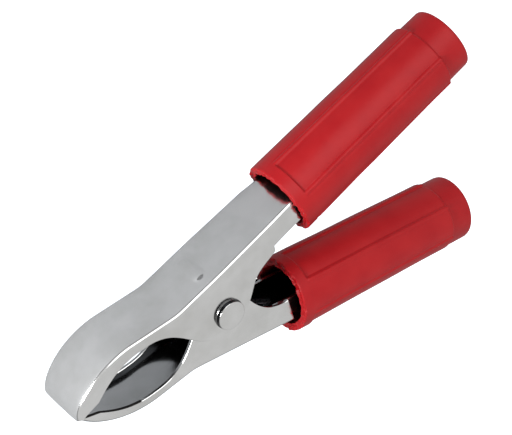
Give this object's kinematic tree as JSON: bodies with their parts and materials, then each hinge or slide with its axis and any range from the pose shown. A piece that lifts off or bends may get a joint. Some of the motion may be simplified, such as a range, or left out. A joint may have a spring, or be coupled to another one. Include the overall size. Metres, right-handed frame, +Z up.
{
  "type": "crocodile clip",
  "caption": "Spring-loaded crocodile test clip: two pressed steel channel levers on a domed rivet, with a torsion spring and fluted red grip sleeves.",
  "frame": {"origin": "middle of the clip's footprint, on the surface that it lies on", "axes": "the clip lies on its side: +X runs from the jaws to the handles along the clip, +Y towards the outer lever, +Z up along the rivet"},
  "size_m": [0.1016, 0.0548, 0.0158],
  "materials": {
    "nickel_plated_steel": "satin nickel plate",
    "spring_steel": "drawn wire",
    "red_pvc": "satin moulded soft PVC"
  },
  "bodies": {
    "upper": {"upper_lever": "nickel_plated_steel", "pivot_rivet": "nickel_plated_steel", "torsion_spring": "spring_steel", "upper_sleeve": "red_pvc"},
    "lower": {"lower_lever": "nickel_plated_steel", "lower_sleeve": "red_pvc"}
  },
  "joints": [
    {"name": "jaw_hinge", "type": "hinge", "parent": "upper", "child": "lower", "pos_m": [-0.0161, -0.00035, 0.0079], "axis": [0, 0, 1], "range_deg": [0, 17], "stiffness_Nm_per_rad": 1, "springref_deg": -25.78, "deforming": ["torsion_spring"]}
  ]
}
